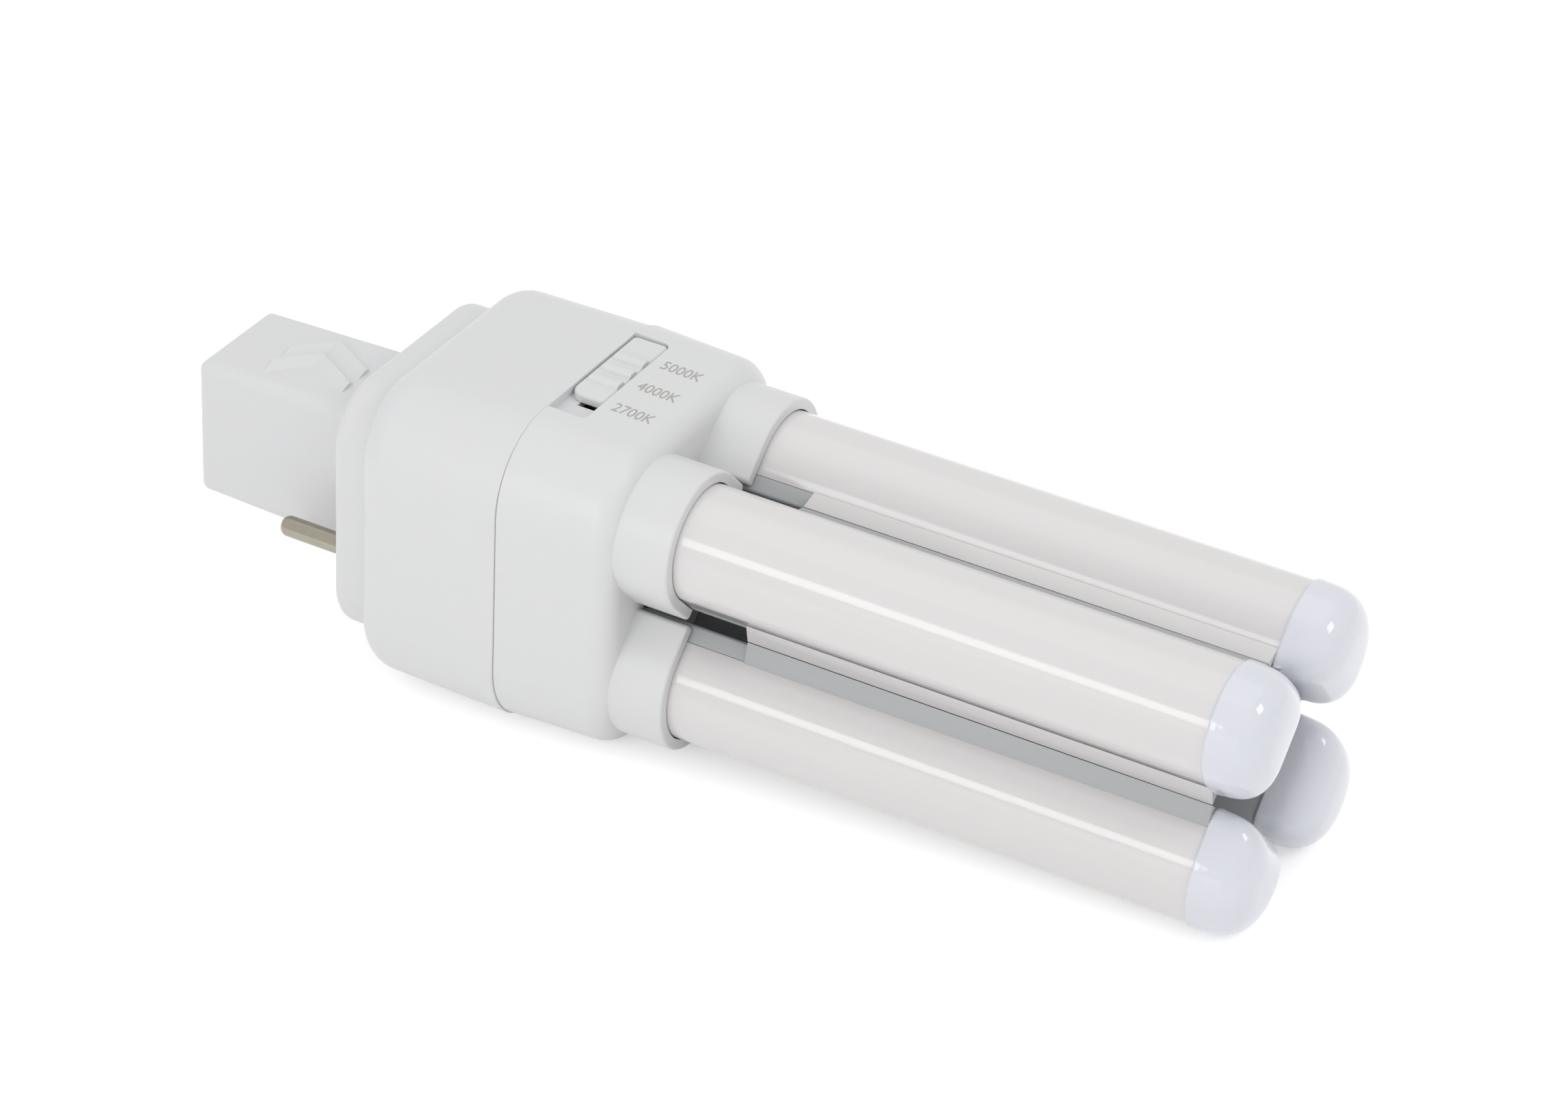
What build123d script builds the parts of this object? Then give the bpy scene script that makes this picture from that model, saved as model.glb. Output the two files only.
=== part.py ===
from build123d import *
import os

# LED plug-in lamp, all sizes in millimetres.
# +X runs along the lamp axis towards the tube ends, +Z is up at rest, +Y is the back.
# The origin lies on the lamp axis at the rear face of the plug plate, which seats on the lampholder.

# Plug cap: hollow post and seat plate
POST_LEN = 22.9
POST_ROOT_Y = 15.2
POST_ROOT_Z = 17.7
POST_DRAFT = 1.5
POST_CORNER = 1.7
POST_END_FILLET = 1.1
POST_WALL = 1.6
HOLLOW_CORNER = 1.0
PLATE_SIZE = 30.2
PLATE_THICK = 4.45
PLATE_CORNER = 6.5
PLATE_FILLET = 1.2
SPIGOT_SIZE = 28.4
SPIGOT_CORNER = 5.6
SPIGOT_WALL = 0.5
SPIGOT_LEN = 1.8

# Two nested chevron ribs on the upper and lower faces of the post
CHEVRON_START_X = -15.5
CHEVRON_PEAK_X = -11.8
CHEVRON_STOP_X = -5.8
CHEVRON_FOOT_Y = 0.7
CHEVRON_PEAK_Y = 4.4
CHEVRON_RIBS = 2
CHEVRON_PITCH = 3.3
CHEVRON_BACK = 1.1
CHEVRON_FRONT = 3.3
CHEVRON_CREST = 0.5
CHEVRON_SUNK = 0.65
CHEVRON_RISE = 0.9

# Contact pins, 24 mm apart, one on each side of the post
PIN_D = 2.35
PIN_LEN = 8.4
PIN_Y = 12.0
PIN_Z = -4.93
PIN_TIP = 1.0
PIN_SHANK_D = 3.0
PIN_STOP_D = 3.6
PIN_STOP_THICK = 0.8
PIN_TAIL_D = 2.0
PIN_TAIL = 3.0
LEAD_D = 1.5

# Housing halves
REAR_LEN = 17.94
REAR_SIZE = 36.9
REAR_TAPER = 0.9
REAR_FILLET = 3.6
FRONT_LEN = 13.4
FRONT_SHIFT = 0.15
FRONT_TAPER = 2.2
FRONT_FILLET = 2.8
HOUSING_CORNER = 9.0
REAR_EDGE = 0.12
FRONT_EDGE = 0.2
WALL = 2.0
LIP_THICK = 0.9
LIP_LEN = 2.2
LIP_CLEAR = 2.0
REBATE_CLEAR = 1.5
CLAMP_POST = 3.0
CLAMP_INSET = 4.05

# Colour selector on the upper face
POCKET_LEN = 18.0
POCKET_WIDE = 4.55
POCKET_CENTRE_Y = 0.7
POCKET_DEPTH = 1.1
POCKET_CORNER = 0.8
KNOB_LEN = 13.7
KNOB_SUNK = 0.1
KNOB_CORNER = 0.6
KNOB_FRONT_CORNER = 1.6
KNOB_EDGE = 0.35
TRAVEL = 4.0
SLOT_INSET = 1.6
SLOT_WIDE = 2.4
SLOT_AHEAD = 0.65
SLOT_LEN = 12.5
RIDGES = 3
RIDGE_PITCH = 2.58
RIDGE_WIDE = 1.5
RIDGE_LEN = 3.6
RIDGE_INSET = 0.55
RIDGE_SHIFT = -0.6
RIDGE_RISE = 0.4
RIDGE_ROOT = 0.3
RIDGE_CREST = 0.4
KEEPER_THICK = 1.0
KEEPER_OVER = 0.9
FORK_WALL = 1.0
FORK_DEEP = 2.0
LEVER_SIZE = 2.0
LEVER_SUNK = 1.2
SWITCH_LEN = 13.0
SWITCH_HEIGHT = 3.4
SWITCH_TOP_GAP = 0.3

# Driver board and its pieces, each placed from its neighbours
BOARD_IN = 5.0
BOARD_THICK = 1.6
BOARD_GAP = 1.0
PIECE_GAP = 1.0
TRANSFORMER_SIZE = 11.0
TRANSFORMER_TALL = 12.5
CORE_WIDE = 5.0
FLANGE_THICK = 3.0
BOBBIN_RIM = 1.0
BULK_CAP_D = 8.0
BULK_CAP_TALL = 12.5
BULK_CAP_EDGE = 2.4
OUT_CAP_D = 5.0
OUT_CAP_TALL = 9.0
CAN_EDGE = 0.5
INDUCTOR_D = 5.0
INDUCTOR_TALL = 7.5
INDUCTOR_FLANGE = 1.2
INDUCTOR_WAIST = 3.0
FUSE_D = 3.2
FUSE_TALL = 9.0
BRIDGE_LONG = 4.7
BRIDGE_WIDE = 3.9
BRIDGE_TALL = 2.6

# Tube section, measured from the lamp axis along one diagonal
TUBE_R = 6.38
ARC_CENTRE = 12.33
INNER_FACE = 7.56
DIFFUSER_EDGE = 9.56
DIFFUSER_WALL = 1.0
SINK_BASE = 1.4
SINK_SIDE = 1.3
RAIL_WIDE = 1.1
RAIL_TOP = 11.0
SINK_CORNER = 0.4
TUBE_ANGLES = {"back_top": 45, "front_top": 135, "front_bottom": 225, "back_bottom": 315}

# Tube positions along the axis
SOCKET_LEN = 6.1
SOCKET_LEDGE = 1.0
SOCKET_DEEP = 4.0
SOCKET_WALL = 1.22
SOCKET_TIP = 8.05
SOCKET_RIM_FILLET = 0.3
TUBE_LEN = 69.1
CAP_LEN = 6.2
CAP_OVER = 0.3
CAP_FILLET = 4.2
CAP_CORNER = 1.8
CAP_FLOOR = 1.8
CAP_PLUG_LEN = 3.5
CAP_PLUG_WALL = 1.0
TAB_R = 0.85
LED_BOARD_THICK = 1.0
LED_BOARD_SHORT = 1.0
LED_COUNT = 10
LED_PITCH = 5.4
LED_START = 3.5
LED_LONG = 3.5
LED_WIDE = 2.8
LED_TALL = 0.7

# Named clearances, and how far one solid runs into another that it joins or cuts
SLIDE_GAP = 0.15
FIT_GAP = 0.1
SEAT_GAP = 0.05
MERGE = 0.5
CUT_OVER = 1.0

# Derived places
REAR_X = PLATE_THICK
PART_X = REAR_X + REAR_LEN
FRONT_X = PART_X + FRONT_LEN
REAR_HALF = REAR_SIZE / 2
CAVITY_HALF = REAR_HALF - WALL
CAVITY_CORNER = HOUSING_CORNER - WALL
LIP_HALF = CAVITY_HALF + LIP_THICK
CLAMP_POST_AT = CAVITY_HALF - CLAMP_INSET
BOARD_BACK_X = PART_X + BOARD_IN
BOARD_FRONT_X = BOARD_BACK_X + BOARD_THICK
BOARD_HALF = CAVITY_HALF - BOARD_GAP
TUBE_START_X = FRONT_X - SOCKET_DEEP + SOCKET_LEDGE
TUBE_END_X = TUBE_START_X + TUBE_LEN
CAP_END_X = TUBE_END_X + CAP_LEN
SOCKET_RIM_X = FRONT_X + SOCKET_LEN
POCKET_FLOOR_Z = REAR_HALF - POCKET_DEPTH
KNOB_BACK_Y = POCKET_CENTRE_Y + POCKET_LEN / 2 - SLIDE_GAP
KNOB_Y = KNOB_BACK_Y - KNOB_LEN / 2
SLOT_X = PART_X + SLOT_INSET
SLOT_FRONT_Y = KNOB_BACK_Y - KNOB_LEN - SLOT_AHEAD
SLOT_BACK_Y = SLOT_FRONT_Y + SLOT_LEN
NECK_LEN = SLOT_LEN - TRAVEL - 2 * SLIDE_GAP
NECK_Y = SLOT_BACK_Y - SLIDE_GAP - NECK_LEN / 2
KEEPER_TOP_Z = CAVITY_HALF - FIT_GAP
FORK_TOP_Z = KEEPER_TOP_Z - KEEPER_THICK
SWITCH_TOP_Z = FORK_TOP_Z - FORK_DEEP - SWITCH_TOP_GAP
SWITCH_LOW_Z = SWITCH_TOP_Z - SWITCH_HEIGHT
SWITCH_X = SLOT_X + SLOT_WIDE / 2
LED_SEAT = INNER_FACE + SINK_BASE
RAIL_OUT = TUBE_R - DIFFUSER_WALL - FIT_GAP
LED_HALF = RAIL_OUT - RAIL_WIDE - FIT_GAP
BULK_CAP_Y = BOARD_HALF - BULK_CAP_EDGE - BULK_CAP_D / 2
FUSE_Z = SWITCH_LOW_Z - PIECE_GAP - FUSE_D / 2
BULK_CAP_Z = FUSE_Z - FUSE_D / 2 - PIECE_GAP - BULK_CAP_D / 2
FUSE_Y = BULK_CAP_Y - BULK_CAP_D / 2
INDUCTOR_Y = BULK_CAP_Y - BULK_CAP_D / 2 + INDUCTOR_D / 2
INDUCTOR_Z = BULK_CAP_Z - BULK_CAP_D / 2 - PIECE_GAP - INDUCTOR_D / 2
OUT_CAP_Y = FUSE_Y - FUSE_D / 2 - PIECE_GAP - OUT_CAP_D
OUT_CAP_Z = SWITCH_LOW_Z - PIECE_GAP - OUT_CAP_D / 2
BRIDGE_Y = OUT_CAP_Y - OUT_CAP_D / 2 - PIECE_GAP - BRIDGE_LONG / 2
TRANSFORMER_Y = BULK_CAP_Y - BULK_CAP_D / 2 - PIECE_GAP - TRANSFORMER_SIZE / 2
TRANSFORMER_Z = OUT_CAP_Z - OUT_CAP_D / 2 - PIECE_GAP - TRANSFORMER_SIZE / 2


def at_x(x):
    """Plane across the lamp axis, its own axes along Y and Z."""
    return Plane.YZ.offset(x)


def slab(x0, x1, sketch):
    """Sketch drawn across the axis, extruded from x0 to x1."""
    return extrude(at_x(x0) * sketch, amount=x1 - x0)


def block(x0, x1, y0, y1, z0, z1):
    size = Box(x1 - x0, y1 - y0, z1 - z0)
    return Pos((x0 + x1) / 2, (y0 + y1) / 2, (z0 + z1) / 2) * size


def square(half, corner):
    return RectangleRounded(2 * half, 2 * half, corner)


def edges_at(part, x, tolerance=0.01):
    """Edges that lie wholly in the plane at x."""
    return part.edges().filter_by_position(Axis.X, x - tolerance, x + tolerance)


def chevron_rib(side, back_y):
    """One arrow-shaped rib on a face of the post, steep behind its crest and sloping in front."""
    base_z = POST_ROOT_Z / 2 - CHEVRON_SUNK
    start = (CHEVRON_START_X, CHEVRON_FOOT_Y + back_y)
    peak = (CHEVRON_PEAK_X, CHEVRON_PEAK_Y + back_y)
    stop = (CHEVRON_STOP_X, CHEVRON_FOOT_Y + back_y)

    def band(behind, ahead):
        back = [(x, y + behind) for x, y in (start, peak, stop)]
        front = [(x, y - ahead) for x, y in (stop, peak, start)]
        return make_face(Polyline(*back, *front, close=True))

    low = Plane.XY.offset(base_z) * band(CHEVRON_BACK, CHEVRON_FRONT)
    high = Plane.XY.offset(base_z + CHEVRON_RISE) * band(0, CHEVRON_CREST)
    rib = loft([low, high], ruled=True)
    if side > 0:
        return rib
    return mirror(rib, about=Plane.XY)


def plug_cap():
    """Hollow post and seat plate in one moulding, with a spigot that enters the rear housing."""
    post = RectangleRounded(POST_ROOT_Y, POST_ROOT_Z, POST_CORNER)
    post = extrude(at_x(0) * post, amount=POST_LEN, dir=(-1, 0, 0), taper=POST_DRAFT)
    post = fillet(edges_at(post, -POST_LEN), POST_END_FILLET)
    plate = slab(0, PLATE_THICK, RectangleRounded(PLATE_SIZE, PLATE_SIZE, PLATE_CORNER))
    plate = fillet(edges_at(plate, 0), PLATE_FILLET)
    ring = square(SPIGOT_SIZE / 2, SPIGOT_CORNER)
    ring = ring - square(SPIGOT_SIZE / 2 - SPIGOT_WALL, SPIGOT_CORNER - SPIGOT_WALL)
    body = post + plate + slab(PLATE_THICK, PLATE_THICK + SPIGOT_LEN, ring)
    for side in (1, -1):
        for i in range(CHEVRON_RIBS):
            body = body + chevron_rib(side, -i * CHEVRON_PITCH)
    hollow = RectangleRounded(POST_ROOT_Y - 2 * POST_WALL, POST_ROOT_Z - 2 * POST_WALL, HOLLOW_CORNER)
    body = body - slab(0, PLATE_THICK, hollow)
    body = body - extrude(at_x(0) * hollow, amount=POST_LEN - POST_WALL, dir=(-1, 0, 0), taper=POST_DRAFT)
    for side in (1, -1):
        hole = Circle(PIN_SHANK_D / 2 + SEAT_GAP)
        body = body - slab(0, PLATE_THICK, Pos(side * PIN_Y, PIN_Z) * hole)
    return body


def contact_pin(side):
    """Round-tipped pin, thicker where the plate holds it, with a stop and a tail for the lead."""
    pin = slab(-PIN_LEN, 0, Circle(PIN_D / 2))
    pin = fillet(edges_at(pin, -PIN_LEN), PIN_TIP)
    shank = slab(0, PLATE_THICK, Circle(PIN_SHANK_D / 2))
    stop = slab(PLATE_THICK, PLATE_THICK + PIN_STOP_THICK, Circle(PIN_STOP_D / 2))
    tail = slab(PLATE_THICK, PLATE_THICK + PIN_TAIL, Circle(PIN_TAIL_D / 2))
    return Pos(0, side * PIN_Y, PIN_Z) * (pin + shank + stop + tail)


def pin_lead(side):
    lead = slab(PLATE_THICK + PIN_TAIL, BOARD_BACK_X, Circle(LEAD_D / 2))
    return Pos(0, side * PIN_Y, PIN_Z) * lead


def clamp_posts(x0, x1):
    """Four posts that hold the driver board, one near each corner of the case."""
    posts = []
    for y in (-CLAMP_POST_AT, CLAMP_POST_AT):
        for z in (-CLAMP_POST_AT, CLAMP_POST_AT):
            posts.append(Pos(0, y, z) * slab(x0, x1, Rectangle(CLAMP_POST, CLAMP_POST)))
    return posts


def selector_zone(x0, x1, margin):
    """Space kept clear of the lap joint around the selector."""
    y0 = POCKET_CENTRE_Y - POCKET_LEN / 2 - margin
    y1 = POCKET_CENTRE_Y + POCKET_LEN / 2 + margin
    return block(x0, x1, y0, y1, CAVITY_HALF - margin, REAR_HALF + margin)


def rear_housing():
    """Plug-side half of the case, with a lip that laps into the other half."""
    outer = at_x(PART_X) * square(REAR_HALF, HOUSING_CORNER)
    outer = extrude(outer, amount=REAR_LEN, dir=(-1, 0, 0), taper=REAR_TAPER)
    outer = fillet(edges_at(outer, REAR_X), REAR_FILLET)
    outer = fillet(edges_at(outer, PART_X), REAR_EDGE)
    cavity = slab(REAR_X + WALL, PART_X, square(CAVITY_HALF, CAVITY_CORNER))
    cavity = fillet(edges_at(cavity, REAR_X + WALL), REAR_FILLET - WALL)
    opening = square(SPIGOT_SIZE / 2 + FIT_GAP, SPIGOT_CORNER + FIT_GAP)
    shell = outer - cavity - slab(REAR_X - CUT_OVER, REAR_X + WALL + CUT_OVER, opening)
    lip = square(LIP_HALF - FIT_GAP, CAVITY_CORNER + LIP_THICK) - square(CAVITY_HALF, CAVITY_CORNER)
    lip_ring = slab(PART_X - CUT_OVER, PART_X + LIP_LEN, lip)
    shell = shell + (lip_ring - selector_zone(PART_X, PART_X + LIP_LEN + CUT_OVER, LIP_CLEAR))
    for post in clamp_posts(REAR_X + WALL, BOARD_BACK_X):
        shell = shell + post
    return shell


def u_shape(grow=0.0, start=INNER_FACE, corner=0.0):
    """Outline of a tube: straight sides along the diagonal and a round outer end."""
    half = TUBE_R + grow
    low = start - grow
    line = Polyline((ARC_CENTRE, half), (low, half), (low, -half), (ARC_CENTRE, -half))
    arc = ThreePointArc((ARC_CENTRE, -half), (ARC_CENTRE + half, 0), (ARC_CENTRE, half))
    face = make_face([*line.edges(), arc])
    if corner > 0:
        tips = face.vertices().sort_by(Axis.X)[0:2]
        face = fillet(tips, corner)
    return face


def around(part, name):
    return Rot(TUBE_ANGLES[name], 0, 0) * part


def socket_collar():
    """Open collar that grips the round outer part of one tube."""
    grow = SLIDE_GAP + SOCKET_WALL
    collar = slab(FRONT_X - MERGE, SOCKET_RIM_X, u_shape(grow, SOCKET_TIP + grow, SOCKET_WALL / 2))
    return fillet(edges_at(collar, SOCKET_RIM_X), SOCKET_RIM_FILLET)


def front_housing():
    """Tube-side half of the case: shell, tube seats and collars, board posts and the selector's pocket."""
    outer = at_x(PART_X) * Pos(FRONT_SHIFT, FRONT_SHIFT) * square(REAR_HALF, HOUSING_CORNER)
    body = extrude(outer, amount=FRONT_LEN, taper=FRONT_TAPER)
    body = fillet(edges_at(body, FRONT_X), FRONT_FILLET)
    body = fillet(edges_at(body, PART_X), FRONT_EDGE)
    body = body - slab(PART_X, FRONT_X - WALL, square(CAVITY_HALF, CAVITY_CORNER))
    rebate = slab(PART_X, PART_X + LIP_LEN + FIT_GAP, square(LIP_HALF, CAVITY_CORNER + LIP_THICK))
    body = body - (rebate - selector_zone(PART_X - CUT_OVER, PART_X + LIP_LEN + CUT_OVER, REBATE_CLEAR))
    for post in clamp_posts(BOARD_FRONT_X, FRONT_X - SOCKET_DEEP + MERGE):
        body = body + post
    for name in TUBE_ANGLES:
        seat = slab(FRONT_X - SOCKET_DEEP, FRONT_X - WALL + MERGE, u_shape(SLIDE_GAP + SOCKET_WALL))
        body = body + around(seat, name) + around(socket_collar(), name)
    for name in TUBE_ANGLES:
        bore = slab(TUBE_START_X, SOCKET_RIM_X + CUT_OVER, u_shape(SLIDE_GAP))
        throat = slab(FRONT_X - SOCKET_DEEP - CUT_OVER, TUBE_START_X, u_shape(-SOCKET_LEDGE))
        body = body - around(bore, name) - around(throat, name)
    pocket = RectangleRounded(2 * POCKET_WIDE, POCKET_LEN, POCKET_CORNER)
    pocket = Plane((PART_X, POCKET_CENTRE_Y, POCKET_FLOOR_Z)) * pocket
    body = body - extrude(pocket, amount=POCKET_DEPTH + CUT_OVER)
    slot = block(SLOT_X, SLOT_X + SLOT_WIDE, SLOT_FRONT_Y, SLOT_BACK_Y, CAVITY_HALF - CUT_OVER, REAR_HALF)
    return body - slot


def knob():
    """Flat knob, rounder at the corner that leads its stroke, with rounded grip ridges across it."""
    x0 = PART_X + SLIDE_GAP
    x1 = PART_X + POCKET_WIDE - SLIDE_GAP
    top_z = REAR_HALF - KNOB_SUNK
    body = block(x0, x1, KNOB_Y - KNOB_LEN / 2, KNOB_Y + KNOB_LEN / 2, POCKET_FLOOR_Z + SEAT_GAP, top_z)
    upright = sorted(body.edges().filter_by(Axis.Z), key=lambda edge: edge.center().X + edge.center().Y)
    body = fillet(upright[1:], KNOB_CORNER)
    upright = sorted(body.edges().filter_by(Axis.Z), key=lambda edge: edge.center().X + edge.center().Y)
    body = fillet(upright[:1], KNOB_FRONT_CORNER)
    body = fillet(body.faces().sort_by(Axis.Z)[-1].edges(), KNOB_EDGE)
    ridge = block(0, RIDGE_LEN, -RIDGE_WIDE / 2, RIDGE_WIDE / 2, top_z - RIDGE_ROOT, top_z + RIDGE_RISE)
    crest = ridge.faces().sort_by(Axis.Z)[-1].edges().filter_by(Axis.X)
    ridge = fillet(crest, (RIDGE_WIDE - RIDGE_CREST) / 2)
    for i in range(RIDGES):
        y = KNOB_Y + RIDGE_SHIFT + (i - (RIDGES - 1) / 2) * RIDGE_PITCH
        body = body + Pos(x0 + RIDGE_INSET, y) * ridge
    return body


def selector_slider():
    """Knob, a neck through the slot, a keeper plate under it and a fork for the lever."""
    x0 = SLOT_X + SLIDE_GAP
    x1 = SLOT_X + SLOT_WIDE - SLIDE_GAP
    y0 = NECK_Y - NECK_LEN / 2
    y1 = NECK_Y + NECK_LEN / 2
    neck = block(x0, x1, y0, y1, KEEPER_TOP_Z, POCKET_FLOOR_Z + SEAT_GAP + MERGE)
    over = KEEPER_OVER
    keeper = block(x0 - over, x1 + over, y0 - over, y1 + over, FORK_TOP_Z, KEEPER_TOP_Z)
    body = knob() + neck + keeper
    prong_at = LEVER_SIZE / 2 + SEAT_GAP + FORK_WALL / 2
    for side in (1, -1):
        y = NECK_Y + side * prong_at
        body = body + block(SWITCH_X - LEVER_SIZE / 2, SWITCH_X + LEVER_SIZE / 2, y - FORK_WALL / 2,
                            y + FORK_WALL / 2, FORK_TOP_Z - FORK_DEEP, FORK_TOP_Z)
    return body


def lever_block(grow):
    half = LEVER_SIZE / 2 + grow
    return (SWITCH_X - half, SWITCH_X + half, NECK_Y - half, NECK_Y + half)


def switch_lever():
    return block(*lever_block(0), SWITCH_TOP_Z - LEVER_SUNK, FORK_TOP_Z - SEAT_GAP)


def selector_switch():
    """Slide switch on the driver board, open above for its lever's stroke."""
    x0 = PART_X + 2 * SLIDE_GAP
    y0 = NECK_Y - TRAVEL / 2 - SWITCH_LEN / 2
    body = block(x0, BOARD_BACK_X, y0, y0 + SWITCH_LEN, SWITCH_LOW_Z, SWITCH_TOP_Z)
    x_low, x_high, y_low, y_high = lever_block(SEAT_GAP)
    floor_z = SWITCH_TOP_Z - LEVER_SUNK - SEAT_GAP
    return body - block(x_low, x_high, y_low - TRAVEL, y_high, floor_z, SWITCH_TOP_Z)


def driver_board():
    return slab(BOARD_BACK_X, BOARD_FRONT_X, square(BOARD_HALF, CAVITY_CORNER - BOARD_GAP))


def transformer():
    """Ferrite core on a bobbin with the winding between its flanges."""
    x0 = BOARD_BACK_X - TRANSFORMER_TALL
    flange = Rectangle(TRANSFORMER_SIZE, TRANSFORMER_SIZE)
    core = slab(x0, BOARD_BACK_X, Rectangle(TRANSFORMER_SIZE, CORE_WIDE))
    winding = slab(x0 + FLANGE_THICK, BOARD_BACK_X - FLANGE_THICK, Circle(TRANSFORMER_SIZE / 2 - BOBBIN_RIM))
    base = slab(BOARD_BACK_X - FLANGE_THICK, BOARD_BACK_X, flange)
    top = slab(x0 + FLANGE_THICK - BOBBIN_RIM, x0 + FLANGE_THICK, flange)
    return Pos(0, TRANSFORMER_Y, TRANSFORMER_Z) * (core + winding + base + top)


def can(diameter, tall, y, z):
    body = slab(BOARD_BACK_X - tall, BOARD_BACK_X, Circle(diameter / 2))
    body = fillet(edges_at(body, BOARD_BACK_X - tall), CAN_EDGE)
    return Pos(0, y, z) * body


def inductor():
    """Drum core with a narrower waist for its winding."""
    drum = can(INDUCTOR_D, INDUCTOR_TALL, 0, 0)
    waist = Circle(INDUCTOR_D / 2 + CUT_OVER) - Circle(INDUCTOR_WAIST / 2)
    waist = slab(BOARD_BACK_X - INDUCTOR_TALL + INDUCTOR_FLANGE, BOARD_BACK_X - INDUCTOR_FLANGE, waist)
    return Pos(0, INDUCTOR_Y, INDUCTOR_Z) * (drum - waist)


def rectifier():
    body = slab(BOARD_BACK_X - BRIDGE_TALL, BOARD_BACK_X, Rectangle(BRIDGE_LONG, BRIDGE_WIDE))
    return Pos(0, BRIDGE_Y, OUT_CAP_Z) * body


def upright(low, high, middle, wide):
    """Rectangle of a tube's section, from low to high along the diagonal."""
    return Pos((low + high) / 2, middle) * Rectangle(high - low, wide)


def heat_sink():
    """Aluminium channel: base, side walls, rails for the strip, a round notch in each side wall."""
    section = upright(INNER_FACE, LED_SEAT, 0, 2 * TUBE_R)
    for side in (1, -1):
        section = section + upright(INNER_FACE, DIFFUSER_EDGE, side * (TUBE_R - SINK_SIDE / 2), SINK_SIDE)
        section = section + upright(INNER_FACE, RAIL_TOP, side * (RAIL_OUT - RAIL_WIDE / 2), RAIL_WIDE)
    section = fillet(section.vertices().group_by(Axis.X)[0], SINK_CORNER)
    notch = Pos(TUBE_END_X, (INNER_FACE + DIFFUSER_EDGE) / 2, 0) * Cylinder(TAB_R, 4 * TUBE_R)
    return slab(TUBE_START_X, TUBE_END_X, section) - notch


def diffuser():
    outer = u_shape(0, DIFFUSER_EDGE + SEAT_GAP)
    inner = u_shape(-DIFFUSER_WALL, DIFFUSER_EDGE - 2 * DIFFUSER_WALL)
    return slab(TUBE_START_X, TUBE_END_X, outer - inner)


def led_board():
    strip = upright(LED_SEAT, LED_SEAT + LED_BOARD_THICK, 0, 2 * LED_HALF)
    return slab(BOARD_FRONT_X, TUBE_END_X - LED_BOARD_SHORT, strip)


def led_chips():
    seat = LED_SEAT + LED_BOARD_THICK
    chips = Part()
    for i in range(LED_COUNT):
        x = SOCKET_RIM_X + LED_START + i * LED_PITCH
        chips = chips + block(x, x + LED_LONG, seat, seat + LED_TALL, -LED_WIDE / 2, LED_WIDE / 2)
    return chips


def end_cap():
    """Rounded cap that closes one tube, with a plug inside the diffuser and a tab in each notch."""
    body = slab(TUBE_END_X, CAP_END_X, u_shape(CAP_OVER, corner=CAP_CORNER))
    body = fillet(edges_at(body, CAP_END_X), CAP_FILLET)
    plug_x = TUBE_END_X - CAP_PLUG_LEN
    plug_r = TUBE_R - DIFFUSER_WALL - FIT_GAP
    axis = Pos(ARC_CENTRE, 0)
    plug = slab(plug_x, TUBE_END_X + MERGE, axis * Circle(plug_r))
    above_rails = upright(RAIL_TOP + FIT_GAP, ARC_CENTRE + TUBE_R, 0, 2 * TUBE_R)
    body = body + (plug & slab(plug_x, TUBE_END_X + MERGE, above_rails))
    body = body - slab(plug_x - CUT_OVER, CAP_END_X - CAP_FLOOR, axis * Circle(plug_r - CAP_PLUG_WALL))
    tab = Cylinder(TAB_R - SEAT_GAP, SINK_SIDE - FIT_GAP)
    for side in (1, -1):
        z = side * (TUBE_R - SINK_SIDE / 2 + FIT_GAP / 2)
        body = body + Pos(TUBE_END_X, (INNER_FACE + DIFFUSER_EDGE) / 2, z) * tab
    return body


def save(part, name):
    part.label = name
    export_step(part, os.path.join("parts", name + ".step"))


os.makedirs("parts", exist_ok=True)
save(plug_cap(), "plug_cap")
save(contact_pin(-1), "contact_pin_front")
save(contact_pin(1), "contact_pin_back")
save(pin_lead(-1), "pin_lead_front")
save(pin_lead(1), "pin_lead_back")
save(rear_housing(), "rear_housing")
save(front_housing(), "front_housing")
save(selector_slider(), "selector_slider")
save(switch_lever(), "switch_lever")
save(selector_switch(), "selector_switch")
save(driver_board(), "driver_board")
save(transformer(), "transformer")
save(can(BULK_CAP_D, BULK_CAP_TALL, BULK_CAP_Y, BULK_CAP_Z), "bulk_capacitor")
save(can(OUT_CAP_D, OUT_CAP_TALL, OUT_CAP_Y, OUT_CAP_Z), "output_capacitor")
save(inductor(), "inductor")
save(can(FUSE_D, FUSE_TALL, FUSE_Y, FUSE_Z), "fuse_resistor")
save(rectifier(), "rectifier")
for tube in TUBE_ANGLES:
    save(around(heat_sink(), tube), "heat_sink_" + tube)
    save(around(led_board(), tube), "led_board_" + tube)
    save(around(led_chips(), tube), "led_chips_" + tube)
    save(around(diffuser(), tube), "diffuser_" + tube)
    save(around(end_cap(), tube), "end_cap_" + tube)
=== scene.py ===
import math

import bpy
from mathutils import Matrix, Vector


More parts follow.
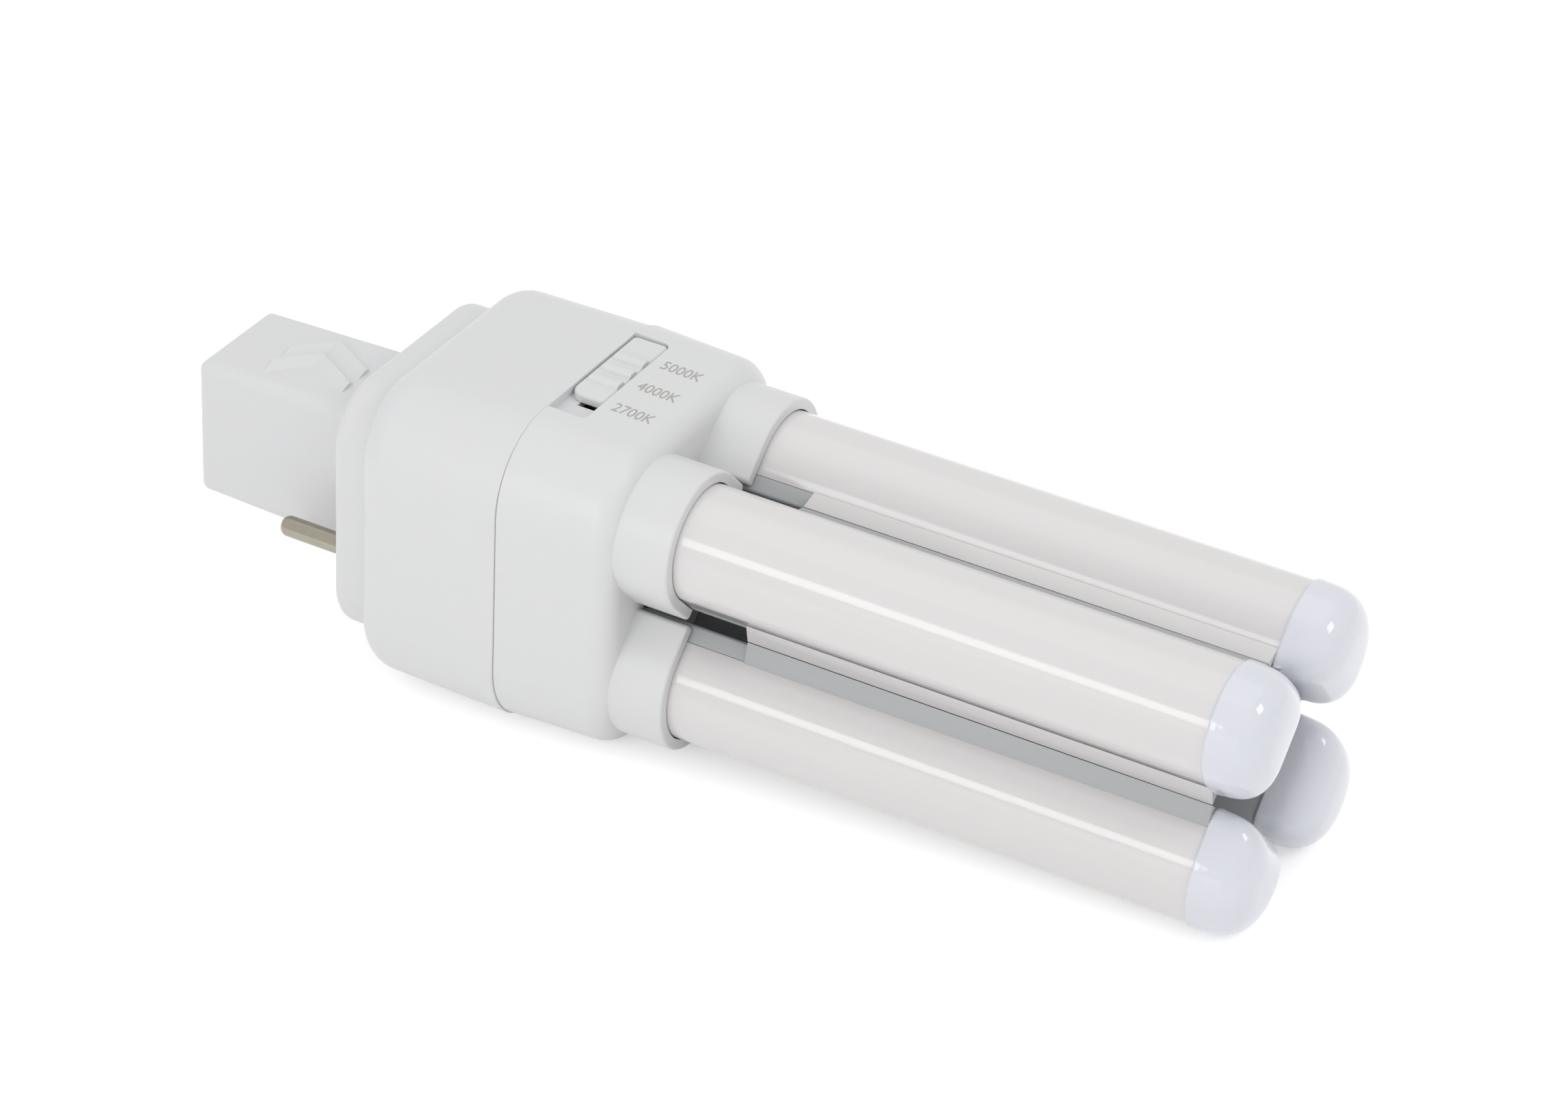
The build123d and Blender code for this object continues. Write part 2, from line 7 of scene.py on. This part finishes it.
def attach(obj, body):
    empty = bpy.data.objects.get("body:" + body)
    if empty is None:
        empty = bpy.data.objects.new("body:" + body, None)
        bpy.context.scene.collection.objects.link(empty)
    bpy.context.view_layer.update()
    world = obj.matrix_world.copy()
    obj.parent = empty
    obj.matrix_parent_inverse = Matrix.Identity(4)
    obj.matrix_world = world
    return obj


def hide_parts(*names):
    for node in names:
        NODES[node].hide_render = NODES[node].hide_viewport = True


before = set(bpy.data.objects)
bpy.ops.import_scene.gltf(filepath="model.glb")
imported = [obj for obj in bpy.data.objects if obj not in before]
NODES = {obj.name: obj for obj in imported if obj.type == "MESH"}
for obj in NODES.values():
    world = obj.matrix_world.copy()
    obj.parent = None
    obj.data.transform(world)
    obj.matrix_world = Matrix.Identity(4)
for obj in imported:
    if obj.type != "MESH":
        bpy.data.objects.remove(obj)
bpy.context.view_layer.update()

bl_info = {
    "name": "Plug-in LED lamp",
    "version": (1, 0, 0),
    "blender": (4, 5, 0),
    "location": "3D View > Sidebar > Lamp",
    "description": "Finishes, tube details, selector marks and studio for the packed plug-in lamp",
    "category": "Object",
}

MM = 0.001
TUBES = ("back_top", "front_top", "front_bottom", "back_bottom")
MERGE_MM = 0.001

# The centre of a tube's round part along its diagonal, and the bow of its sides below that
DIAGONAL = 0.7071
TUBE_CENTRE_MM = 12.33
BOW_REACH_MM = 2.77
BOW_MM = 0.063

# Where the caps' domes begin along the lamp, and the grid and passes that smooth them
CAP_MERGE_MM = 0.02
CAP_FACE_MM = 101.85
CAP_GRID_MM = 0.3
DOME_START_MM = 102.5
DOME_PASSES = 46

ABS_IOR = 1.54
POLYCARBONATE_IOR = 1.58

# Figures of the selector's marks, and where each begins across the case
MARKS_MM = (("5000K", 5.0), ("4000K", -0.05), ("2700K", -5.15))
MARK_PROBE_M = 0.05

# The light: how far the floor is lifted towards white, the sky, and the softboxes
FLOOR_LIFT = 0.42
FLOOR_GAP_MM = 0.02
SKY_STRENGTH = 0.78
NEAR_LIGHT = {"brightness": 3.5, "place_mm": (8, -199, 92), "target_mm": (75, -14, 5)}
OVERHEAD_LIGHT = {"brightness": 0.4, "place_mm": (30, 100, 900), "target_mm": (40, 0, 0)}
END_LIGHT = {"brightness": 4.8, "place_mm": (470, -30, 450), "target_mm": (105, 0, 0)}
FRONT_LIGHT = {"brightness": 0.6, "place_mm": (60, -760, 95), "target_mm": (60, 0, 0)}

# The camera that was fitted to the photograph
CAMERA_SENSOR_MM = 36.0
CAMERA_LENS_MM = 109.97
CAMERA_NEAR_M = 0.01
CAMERA_PLACE_MM = (240.31, -375.61, 278.21)
CAMERA_TURN = (
    (0.873423, -0.299030, 0.384334),
    (0.484628, 0.456608, -0.746086),
    (0.047613, 0.837908, 0.543730),
)


def linear(code):
    """Turns an sRGB hex code into a linear colour."""
    values = [int(code[i:i + 2], 16) / 255 for i in (0, 2, 4)]
    return [v / 12.92 if v <= 0.04045 else ((v + 0.055) / 1.055) ** 2.4 for v in values]


def add_node(tree, kind, inputs=(), **settings):
    """Adds a node, sets its properties and fills its sockets with values or links."""
    node = tree.nodes.new(kind)
    for name, value in settings.items():
        setattr(node, name, value)
    for socket, value in dict(inputs).items():
        if isinstance(value, bpy.types.NodeSocket):
            tree.links.new(value, node.inputs[socket])
        else:
            node.inputs[socket].default_value = value
    return node


def figure(tree, operation, *values):
    """Adds one step of arithmetic and gives its result."""
    return add_node(tree, "ShaderNodeMath", dict(enumerate(values)), operation=operation).outputs[0]


def colour_property(name, code, description):
    return bpy.props.FloatVectorProperty(
        name=name, description=description, subtype="COLOR", size=3, min=0, max=1,
        default=linear(code))


def length_property(name, millimetres, description):
    return bpy.props.FloatProperty(
        name=name, description=description, unit="LENGTH", precision=5, default=millimetres * MM)


class LampFinishes(bpy.types.PropertyGroup):
    """Colours of the visible pieces."""
    case: colour_property("Case", "D9DADC", "White of the plug and the case halves")
    case_warm: colour_property("Case patches", "DADAD9", "Slightly warmer white in broad patches")
    cover: colour_property("Cover", "DDDAD9", "Milky white of the tube covers")
    cover_cool: colour_property("Cover streaks", "DBDADA", "Cooler white in the drawn streaks")
    cap: colour_property("Caps", "DEDFE6", "Bluish milky white of the end caps")
    cap_deep: colour_property("Caps in depth", "D9DBE4", "Deeper tint in the thicker flow marks")
    aluminium: colour_property("Aluminium", "B2B4B6", "Matt silver of the tube channels")
    nickel: colour_property("Pins", "A5A197", "Nickel plate of the contact pins")
    brass: colour_property("Pins worn", "9A9482", "Brass that shows through the plate")
    ink: colour_property("Marks", "A3A39E", "Grey print of the selector's marks")


class LampMarks(bpy.types.PropertyGroup):
    """Sizes of the printed marks beside the selector."""
    left: length_property("Left edge", 28.15, "Where each mark begins along the lamp")
    wide: length_property("Width", 4.75, "Length of one printed mark")
    tall: length_property("Height", 1.7, "Height of the figures")
    film: length_property("Film", 0.03, "Thickness of the printed film")
    sunk: length_property("Bite", 0.012, "How far the film sits in the plastic's skin")


class LampFlanks(bpy.types.PropertyGroup):
    """Section of the flanks on both sides of a channel, for the tube at the top of the back."""
    start: length_property("Start", 48.75, "Where a flank begins along the lamp")
    end: length_property("End", 101.9, "Where a flank ends along the lamp")
    brow_y: length_property("Brow across", 2.369, "Where a flank meets its cover's edge, across")
    brow_z: length_property("Brow up", 11.42, "Where a flank meets its cover's edge, up")
    corner_y: length_property("Corner across", 0.03, "Square corner, across")
    corner_z: length_property("Corner up", 10.85, "Square corner, up")
    root_y: length_property("Root across", 0.86, "Where a flank meets the channel's base, across")
    root_z: length_property("Root up", 9.89, "Where a flank meets the channel's base, up")
    edge: length_property("Edge", 0.05, "Rounding of a flank's edges")


class LampStudio(bpy.types.PropertyGroup):
    """Sizes of the stage around the lamp."""
    floor: length_property("Floor", 6000, "Side of the square floor")
    key_wide: length_property("Key width", 110, "Width of the near softbox")
    key_tall: length_property("Key height", 48, "Height of the near softbox")
    sky: length_property("Overhead", 900, "Side of the overhead softbox")
    fill: length_property("Fill", 150, "Side of the softbox above the tube ends")
    front_wide: length_property("Front width", 600, "Width of the low frontal softbox")
    front_tall: length_property("Front height", 200, "Height of the low frontal softbox")


def new_material(name):
    """Starts a material with its shader, output and Object coordinates."""
    material = bpy.data.materials.new(name)
    material.use_nodes = True
    tree = material.node_tree
    tree.nodes.clear()
    shader = add_node(tree, "ShaderNodeBsdfPrincipled")
    add_node(tree, "ShaderNodeOutputMaterial", {"Surface": shader.outputs["BSDF"]})
    coords = add_node(tree, "ShaderNodeTexCoord")
    return material, tree, shader, coords.outputs["Object"]


def grain(tree, place, size_mm, detail=2.0, stretch=(1, 1, 1)):
    """Noise whose spots are about size_mm wide, drawn out along an axis by stretch."""
    scale = [1 / (size_mm * MM * s) for s in stretch]
    spread = add_node(tree, "ShaderNodeMapping", {"Vector": place, "Scale": scale})
    noise = add_node(
        tree, "ShaderNodeTexNoise",
        {"Vector": spread.outputs["Vector"], "Scale": 1.0, "Detail": detail, "Roughness": 0.5})
    return noise.outputs["Fac"]


def lay(tree, shader, factor, first, second):
    """Mixes two colours by a pattern into the shader's base colour."""
    mix = add_node(
        tree, "ShaderNodeMix", {0: factor, 6: (*first, 1), 7: (*second, 1)}, data_type="RGBA")
    tree.links.new(mix.outputs[2], shader.inputs["Base Color"])


def roughen(tree, shader, factor, low, high):
    """Spreads a pattern over a range of roughness."""
    span = add_node(tree, "ShaderNodeMapRange", {"Value": factor, "To Min": low, "To Max": high})
    tree.links.new(span.outputs["Result"], shader.inputs["Roughness"])


def emboss(tree, shader, factor, depth_mm):
    """Turns a pattern into a bump of the given depth, on top of one that is there."""
    bump = add_node(
        tree, "ShaderNodeBump", {"Height": factor, "Strength": 1.0, "Distance": depth_mm * MM})
    for link in shader.inputs["Normal"].links:
        tree.links.new(link.from_socket, bump.inputs["Normal"])
    tree.links.new(bump.outputs["Normal"], shader.inputs["Normal"])


def bow_sides(tree, shader, place):
    """Lets the light see a tube's flat sides as bowed: they turn in evenly below the round part,
    then lean on."""
    parts = add_node(tree, "ShaderNodeSeparateXYZ", {"Vector": place})
    across = figure(tree, "ABSOLUTE", parts.outputs["Y"])
    up = figure(tree, "ABSOLUTE", parts.outputs["Z"])
    both = figure(tree, "ADD", across, up)
    below = figure(tree, "MULTIPLY_ADD", both, -DIAGONAL / MM, TUBE_CENTRE_MM)
    kept = add_node(tree, "ShaderNodeClamp", {"Value": below, "Min": 0.0, "Max": BOW_REACH_MM})
    turned = figure(tree, "POWER", kept.outputs[0], 2.0)
    past = figure(tree, "SUBTRACT", below, BOW_REACH_MM)
    straight = figure(tree, "MAXIMUM", past, 0.0)
    fall = figure(tree, "MULTIPLY_ADD", straight, 2 * BOW_REACH_MM, turned)
    bump = add_node(
        tree, "ShaderNodeBump", {"Height": fall, "Strength": 1.0, "Distance": BOW_MM * MM}, invert=True)
    tree.links.new(bump.outputs["Normal"], shader.inputs["Normal"])


def moulded_abs(looks):
    """ABS from a fine-textured mould: satin white, with broad faint patches and a soft orange peel."""
    material, tree, shader, place = new_material("moulded_abs")
    shader.inputs["IOR"].default_value = ABS_IOR
    lay(tree, shader, grain(tree, place, 9.0), looks.case, looks.case_warm)
    roughen(tree, shader, grain(tree, place, 2.5), 0.34, 0.44)
    emboss(tree, shader, grain(tree, place, 0.45), 0.004)
    return material


def drawn_opal_polycarbonate(looks):
    """Opal polycarbonate, extruded: glossy, with faint streaks drawn along the tube."""
    material, tree, shader, place = new_material("drawn_opal_polycarbonate")
    shader.inputs["IOR"].default_value = POLYCARBONATE_IOR
    streaks = grain(tree, place, 0.9, stretch=(70, 1, 1))
    lay(tree, shader, streaks, looks.cover, looks.cover_cool)
    roughen(tree, shader, streaks, 0.09, 0.14)
    bow_sides(tree, shader, place)
    emboss(tree, shader, grain(tree, place, 0.6, stretch=(40, 1, 1)), 0.002)
    return material


def moulded_opal_polycarbonate(looks):
    """Opal polycarbonate, moulded: glossy and slightly blue, with soft flow marks."""
    material, tree, shader, place = new_material("moulded_opal_polycarbonate")
    shader.inputs["IOR"].default_value = POLYCARBONATE_IOR
    lay(tree, shader, grain(tree, place, 3.5), looks.cap, looks.cap_deep)
    roughen(tree, shader, grain(tree, place, 1.4), 0.05, 0.09)
    emboss(tree, shader, grain(tree, place, 0.8), 0.002)
    return material


def extruded_aluminium(looks):
    """Blasted and anodised extruded aluminium: its oxide scatters light, so it is matt and grey,
    with faint die lines along the channel, drawn coarser to show."""
    material, tree, shader, place = new_material("extruded_aluminium")
    shader.inputs["Metallic"].default_value = 0.12
    lines = grain(tree, place, 0.25, detail=3.0, stretch=(120, 1, 1))
    lay(tree, shader, lines, looks.aluminium, [v * 0.95 for v in looks.aluminium])
    roughen(tree, shader, grain(tree, place, 0.4, stretch=(30, 1, 1)), 0.42, 0.54)
    emboss(tree, shader, lines, 0.003)
    return material


def nickel_plated_brass(looks):
    """Turned brass pin under thin nickel: rings from the lathe and a little brass in the worn spots."""
    material, tree, shader, place = new_material("nickel_plated_brass")
    shader.inputs["Metallic"].default_value = 1.0
    lay(tree, shader, grain(tree, place, 1.1), looks.nickel, looks.brass)
    rings = grain(tree, place, 0.3, stretch=(1, 60, 60))
    roughen(tree, shader, rings, 0.12, 0.22)
    emboss(tree, shader, rings, 0.001)
    return material


def pad_printed_ink(looks):
    """Pad-printed ink: matt grey, thinner in small spots where the plastic shows through."""
    material, tree, shader, place = new_material("pad_printed_ink")
    lay(tree, shader, grain(tree, place, 0.3), looks.ink, [min(1, v * 1.18) for v in looks.ink])
    roughen(tree, shader, grain(tree, place, 0.5), 0.5, 0.65)
    return material


def hidden_finish(name, first, second, size_mm, rough, metallic=0.0, stretch=(1, 1, 1)):
    """Finish of a piece inside the case: two shades in a pattern of the material's own grain."""
    material, tree, shader, place = new_material(name)
    shader.inputs["Metallic"].default_value = metallic
    pattern = grain(tree, place, size_mm, stretch=stretch)
    lay(tree, shader, pattern, linear(first), linear(second))
    roughen(tree, shader, pattern, rough - 0.06, rough + 0.06)
    emboss(tree, shader, pattern, 0.005)
    return material


def dress(material, *names):
    """Gives CAD nodes their material."""
    for name in names:
        NODES[name].material_slots[0].material = material


class LAMP_OT_case(bpy.types.Operator):
    """Finish the plug, the case halves and the selector's knob"""
    bl_idname = "lamp.case"
    bl_label = "Case"

    def execute(self, context):
        plastic = moulded_abs(context.scene.lamp_finishes)
        dress(plastic, "plug_cap", "rear_housing", "front_housing", "selector_slider")
        return {"FINISHED"}


class LAMP_OT_contacts(bpy.types.Operator):
    """Finish the contact pins and their leads"""
    bl_idname = "lamp.contacts"
    bl_label = "Contacts"

    def execute(self, context):
        plated = nickel_plated_brass(context.scene.lamp_finishes)
        dress(plated, "contact_pin_front", "contact_pin_back")
        sleeve = hidden_finish("silicone_sleeve", "B4221C", "9E1D18", 1.5, 0.5)
        dress(sleeve, "pin_lead_front", "pin_lead_back")
        return {"FINISHED"}


def add_piece(name, data):
    """Links a new object and makes it the only one selected."""
    bpy.ops.object.select_all(action="DESELECT")
    piece = bpy.data.objects.new(name, data)
    bpy.context.scene.collection.objects.link(piece)
    piece.select_set(True)
    bpy.context.view_layer.objects.active = piece
    return piece


def select_by_place(piece, test):
    """Selects the vertices whose place passes a test, and leaves the piece in edit mode."""
    bpy.ops.object.mode_set(mode="EDIT")
    bpy.ops.mesh.select_mode(type="VERT")
    bpy.ops.mesh.select_all(action="DESELECT")
    bpy.ops.object.mode_set(mode="OBJECT")
    for vertex in piece.data.vertices:
        vertex.select = test(vertex.co)
    bpy.ops.object.mode_set(mode="EDIT")


def round_cap(tube, plastic):
    """Moulds an end cap anew from its node: the part beyond the tube, as a dome with no creases."""
    node = NODES["end_cap_" + tube]
    cap = add_piece("round_cap_" + tube, node.data.copy())
    cap.matrix_world = node.matrix_world
    bpy.ops.object.mode_set(mode="EDIT")
    bpy.ops.mesh.select_all(action="SELECT")
    bpy.ops.mesh.remove_doubles(threshold=CAP_MERGE_MM * MM)
    select_by_place(cap, lambda place: place.x < CAP_FACE_MM * MM)
    bpy.ops.mesh.delete(type="VERT")
    bpy.ops.mesh.select_all(action="SELECT")
    bpy.ops.mesh.convex_hull()
    bpy.ops.object.mode_set(mode="OBJECT")
    cap.data.remesh_voxel_size = CAP_GRID_MM * MM
    bpy.ops.object.voxel_remesh()
    select_by_place(cap, lambda place: place.x > DOME_START_MM * MM)
    bpy.ops.mesh.vertices_smooth(factor=0.5, repeat=DOME_PASSES)
    bpy.ops.object.mode_set(mode="OBJECT")
    bpy.ops.object.shade_smooth()
    cap.data.materials.clear()
    cap.data.materials.append(plastic)
    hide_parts("end_cap_" + tube)
    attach(cap, "lamp")


def channel_flank(tube, quarter_turns, mirrored, sizes, finish):
    """Fills one side of a channel with a wedge, from a flat section drawn out along the tube: the
    cover's wrapped lip on the first side, the bare channel on the mirrored one."""
    corners = [
        (sizes.brow_y, sizes.brow_z),
        (sizes.corner_y, sizes.corner_z),
        (sizes.root_y, sizes.root_z),
    ]
    if mirrored:
        corners = [(up, across) for across, up in corners]
    name = ("channel_flank_" if mirrored else "cover_lip_") + tube
    section = bpy.data.curves.new(name, "CURVE")
    section.dimensions = "2D"
    section.fill_mode = "BOTH"
    section.extrude = (sizes.end - sizes.start) / 2
    spline = section.splines.new("POLY")
    spline.points.add(len(corners) - 1)
    for point, (across, up) in zip(spline.points, corners):
        point.co = (across, up, 0, 1)
    spline.use_cyclic_u = True
    flank = add_piece(name, section)
    bpy.ops.object.convert(target="MESH")
    bpy.ops.object.mode_set(mode="EDIT")
    bpy.ops.mesh.select_all(action="SELECT")
    bpy.ops.mesh.remove_doubles(threshold=MERGE_MM * MM)
    bpy.ops.mesh.normals_make_consistent(inside=False)
    bpy.ops.mesh.bevel(offset=sizes.edge, segments=3)
    bpy.ops.object.mode_set(mode="OBJECT")
    middle = (sizes.start + sizes.end) / 2
    stand = Matrix(((0, 0, 1, middle), (1, 0, 0, 0), (0, 1, 0, 0), (0, 0, 0, 1)))
    flank.matrix_world = Matrix.Rotation(quarter_turns * math.pi / 2, 4, "X") @ stand
    bpy.ops.object.transform_apply(location=True, rotation=True, scale=True)
    bpy.ops.object.shade_smooth_by_angle()
    flank.data.materials.append(finish)
    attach(flank, "lamp")


class LAMP_OT_tubes(bpy.types.Operator):
    """Finish the covers and channels of the four tubes, and make their lips, flanks and round caps"""
    bl_idname = "lamp.tubes"
    bl_label = "Tubes"

    def execute(self, context):
        looks = context.scene.lamp_finishes
        sizes = context.scene.lamp_flanks
        opal = drawn_opal_polycarbonate(looks)
        dress(opal, *["diffuser_" + tube for tube in TUBES])
        metal = extruded_aluminium(looks)
        dress(metal, *["heat_sink_" + tube for tube in TUBES])
        for quarter_turns, tube in enumerate(TUBES):
            channel_flank(tube, quarter_turns, False, sizes, opal)
            channel_flank(tube, quarter_turns, True, sizes, metal)
        plastic = moulded_opal_polycarbonate(looks)
        dress(plastic, *["end_cap_" + tube for tube in TUBES])
        for tube in TUBES:
            round_cap(tube, plastic)
        return {"FINISHED"}


class LAMP_OT_strips(bpy.types.Operator):
    """Finish the light strips inside the tubes"""
    bl_idname = "lamp.strips"
    bl_label = "Light strips"

    def execute(self, context):
        mask = hidden_finish("white_masked_aluminium", "EDEDE8", "E4E4DE", 1.2, 0.45)
        dress(mask, *["led_board_" + tube for tube in TUBES])
        phosphor = hidden_finish("phosphor_in_silicone", "E8CB4A", "E2BE3A", 0.3, 0.55)
        dress(phosphor, *["led_chips_" + tube for tube in TUBES])
        return {"FINISHED"}


class LAMP_OT_driver(bpy.types.Operator):
    """Finish the driver board, its pieces and the slide switch"""
    bl_idname = "lamp.driver"
    bl_label = "Driver"

    def execute(self, context):
        dress(hidden_finish("masked_glass_laminate", "1F6B37", "1B5F31", 0.6, 0.4), "driver_board")
        dress(hidden_finish("sintered_ferrite", "2B2B2C", "242425", 0.4, 0.7), "transformer", "inductor")
        dark = hidden_finish("dark_moulded_plastic", "1C1D20", "232427", 0.8, 0.45)
        dress(dark, "bulk_capacitor", "output_capacitor", "rectifier", "switch_lever")
        dress(hidden_finish("lacquered_resistor", "9C3A2C", "8C3326", 0.7, 0.4), "fuse_resistor")
        dress(hidden_finish("tinned_steel", "B9BABB", "A9AAAC", 0.5, 0.35, 1.0), "selector_switch")
        return {"FINISHED"}


def print_mark(figures, base_y, sizes, ink):
    """Prints one mark on the front housing, from lettering made a mesh and laid along the surface."""
    bpy.ops.object.select_all(action="DESELECT")
    bpy.ops.object.text_add(location=(0, 0, 0))
    mark = bpy.context.object
    mark.name = "selector_mark_" + figures
    mark.data.body = figures
    mark.data.extrude = 0.5
    mark.data.resolution_u = 3
    bpy.ops.object.convert(target="MESH")
    corners = [Vector(corner) for corner in mark.bound_box]
    low = Vector([min(c[i] for c in corners) for i in range(3)])
    span = Vector([max(c[i] for c in corners) for i in range(3)]) - low
    middle = Vector((sizes.left + sizes.wide / 2, base_y + sizes.tall / 2, MARK_PROBE_M))
    found, spot, normal, _ = NODES["front_housing"].ray_cast(middle, (0, 0, -1))
    if not found:
        raise RuntimeError("no surface under the mark " + figures)
    turn = Vector((0, 0, 1)).rotation_difference(normal).to_matrix().to_4x4()
    size = Matrix.Diagonal((sizes.wide / span.x, sizes.tall / span.y, sizes.film / span.z, 1))
    centre = Matrix.Translation(-(low + span / 2))
    lift = Matrix.Translation((0, 0, sizes.film / 2 - sizes.sunk))
    mark.matrix_world = Matrix.Translation(spot) @ turn @ lift @ size @ centre
    bpy.ops.object.transform_apply(location=True, rotation=True, scale=True)
    mark.data.materials.clear()
    mark.data.materials.append(ink)
    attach(mark, "lamp")


class LAMP_OT_marks(bpy.types.Operator):
    """Print the three colour temperatures beside the selector"""
    bl_idname = "lamp.marks"
    bl_label = "Selector marks"

    def execute(self, context):
        ink = pad_printed_ink(context.scene.lamp_finishes)
        for figures, base_mm in MARKS_MM:
            print_mark(figures, base_mm * MM, context.scene.lamp_marks, ink)
        return {"FINISHED"}


def resting_slope():
    """Where the case's lowest edge touches the floor, and the slope from there to the tube ends."""
    edge = min((v.co for v in NODES["rear_housing"].data.vertices), key=lambda co: (co.z, -co.x))
    caps = [v.co for v in NODES["end_cap_front_bottom"].data.vertices]
    return edge, min((co.z - edge.z) / (co.x - edge.x) for co in caps)


def pale_floor(side):
    """Large matt floor under the resting lamp: white to the camera away from the lamp's shadow."""
    bpy.ops.object.select_all(action="DESELECT")
    edge, slope = resting_slope()
    lie = Vector((-slope, 0, 1)).normalized()
    bpy.ops.mesh.primitive_plane_add(size=side, location=(edge.x, 0, edge.z - FLOOR_GAP_MM * MM))
    floor = bpy.context.object
    floor.name = "floor"
    floor.rotation_euler = lie.to_track_quat("Z", "Y").to_euler()
    bpy.ops.object.transform_apply(location=True, rotation=True, scale=True)
    material, tree, shader, place = new_material("matt_white_board")
    lay(tree, shader, grain(tree, place, 40.0), linear("F8F8F8"), linear("F6F6F6"))
    roughen(tree, shader, grain(tree, place, 5.0), 0.9, 1.0)
    shader.inputs["Specular IOR Level"].default_value = 0.0
    lift = figure(tree, "MULTIPLY", seen_rays(tree), FLOOR_LIFT)
    glow = add_node(tree, "ShaderNodeEmission", {"Color": (1, 1, 1, 1), "Strength": lift})
    both = add_node(tree, "ShaderNodeAddShader", {0: shader.outputs[0], 1: glow.outputs[0]})
    output = [n for n in tree.nodes if n.bl_idname == "ShaderNodeOutputMaterial"][0]
    tree.links.new(both.outputs[0], output.inputs["Surface"])
    floor.data.materials.append(material)


def seen_rays(tree):
    """One for rays that show the background: straight, mirrored or through glass."""
    path = add_node(tree, "ShaderNodeLightPath")
    first = figure(tree, "MAXIMUM", path.outputs["Is Camera Ray"], path.outputs["Is Glossy Ray"])
    return figure(tree, "MAXIMUM", first, path.outputs["Is Transmission Ray"])


def even_sky(strength):
    """Even white light from all round, plain white where it is seen."""
    world = bpy.data.worlds.new("light_tent")
    bpy.context.scene.world = world
    world.use_nodes = True
    tree = world.node_tree
    tree.nodes.clear()
    level = add_node(
        tree, "ShaderNodeMapRange", {"Value": seen_rays(tree), "To Min": strength, "To Max": 1.0})
    sky = add_node(
        tree, "ShaderNodeBackground", {"Color": (1, 1, 1, 1), "Strength": level.outputs["Result"]})
    add_node(tree, "ShaderNodeOutputWorld", {"Surface": sky.outputs["Background"]})


def softbox(name, wide, tall, brightness, place_mm, target_mm):
    """Rectangular softbox of a given surface brightness, aimed at a point."""
    light = bpy.data.lights.new(name, "AREA")
    light.shape = "RECTANGLE"
    light.size = wide
    light.size_y = tall
    light.energy = brightness * math.pi * wide * tall
    lamp = bpy.data.objects.new(name, light)
    bpy.context.scene.collection.objects.link(lamp)
    lamp.location = Vector(place_mm) * MM
    aim = Vector(target_mm) * MM - lamp.location
    lamp.rotation_euler = aim.to_track_quat("-Z", "Y").to_euler()
    lamp.visible_camera = False


def photo_camera():
    """Camera fitted to the photograph: its place, turn and lens."""
    data = bpy.data.cameras.new("photo_camera")
    data.sensor_fit = "HORIZONTAL"
    data.sensor_width = CAMERA_SENSOR_MM
    data.lens = CAMERA_LENS_MM
    data.clip_start = CAMERA_NEAR_M
    camera = bpy.data.objects.new("photo_camera", data)
    bpy.context.scene.collection.objects.link(camera)
    place = Matrix.Translation(Vector(CAMERA_PLACE_MM) * MM)
    camera.matrix_world = place @ Matrix(CAMERA_TURN).to_4x4()
    bpy.context.scene.camera = camera


class LAMP_OT_stage(bpy.types.Operator):
    """Set the floor, the light and the camera"""
    bl_idname = "lamp.stage"
    bl_label = "Stage"

    def execute(self, context):
        studio = context.scene.lamp_studio
        pale_floor(studio.floor)
        even_sky(SKY_STRENGTH)
        softbox("near_softbox", studio.key_wide, studio.key_tall, **NEAR_LIGHT)
        softbox("overhead_softbox", studio.sky, studio.sky, **OVERHEAD_LIGHT)
        softbox("end_softbox", studio.fill, studio.fill, **END_LIGHT)
        softbox("front_softbox", studio.front_wide, studio.front_tall, **FRONT_LIGHT)
        photo_camera()
        context.scene.view_settings.view_transform = "Standard"
        return {"FINISHED"}


OPERATORS = (
    LAMP_OT_case, LAMP_OT_contacts, LAMP_OT_tubes, LAMP_OT_strips, LAMP_OT_driver, LAMP_OT_marks,
    LAMP_OT_stage,
)


class LAMP_PT_panel(bpy.types.Panel):
    """Lists the lamp's steps in the sidebar"""
    bl_idname = "LAMP_PT_panel"
    bl_label = "Plug-in lamp"
    bl_space_type = "VIEW_3D"
    bl_region_type = "UI"
    bl_category = "Lamp"

    def draw(self, context):
        for operator in OPERATORS:
            self.layout.operator(operator.bl_idname)


CLASSES = (LampFinishes, LampMarks, LampFlanks, LampStudio, *OPERATORS, LAMP_PT_panel)


def register():
    for cls in CLASSES:
        bpy.utils.register_class(cls)
    bpy.types.Scene.lamp_finishes = bpy.props.PointerProperty(type=LampFinishes)
    bpy.types.Scene.lamp_marks = bpy.props.PointerProperty(type=LampMarks)
    bpy.types.Scene.lamp_flanks = bpy.props.PointerProperty(type=LampFlanks)
    bpy.types.Scene.lamp_studio = bpy.props.PointerProperty(type=LampStudio)


def unregister():
    del bpy.types.Scene.lamp_studio
    del bpy.types.Scene.lamp_flanks
    del bpy.types.Scene.lamp_marks
    del bpy.types.Scene.lamp_finishes
    for cls in reversed(CLASSES):
        bpy.utils.unregister_class(cls)


def main():
    register()
    bpy.ops.lamp.case()
    bpy.ops.lamp.contacts()
    bpy.ops.lamp.tubes()
    bpy.ops.lamp.strips()
    bpy.ops.lamp.driver()
    bpy.ops.lamp.marks()
    bpy.ops.lamp.stage()


if __name__ == "__main__":
    main()
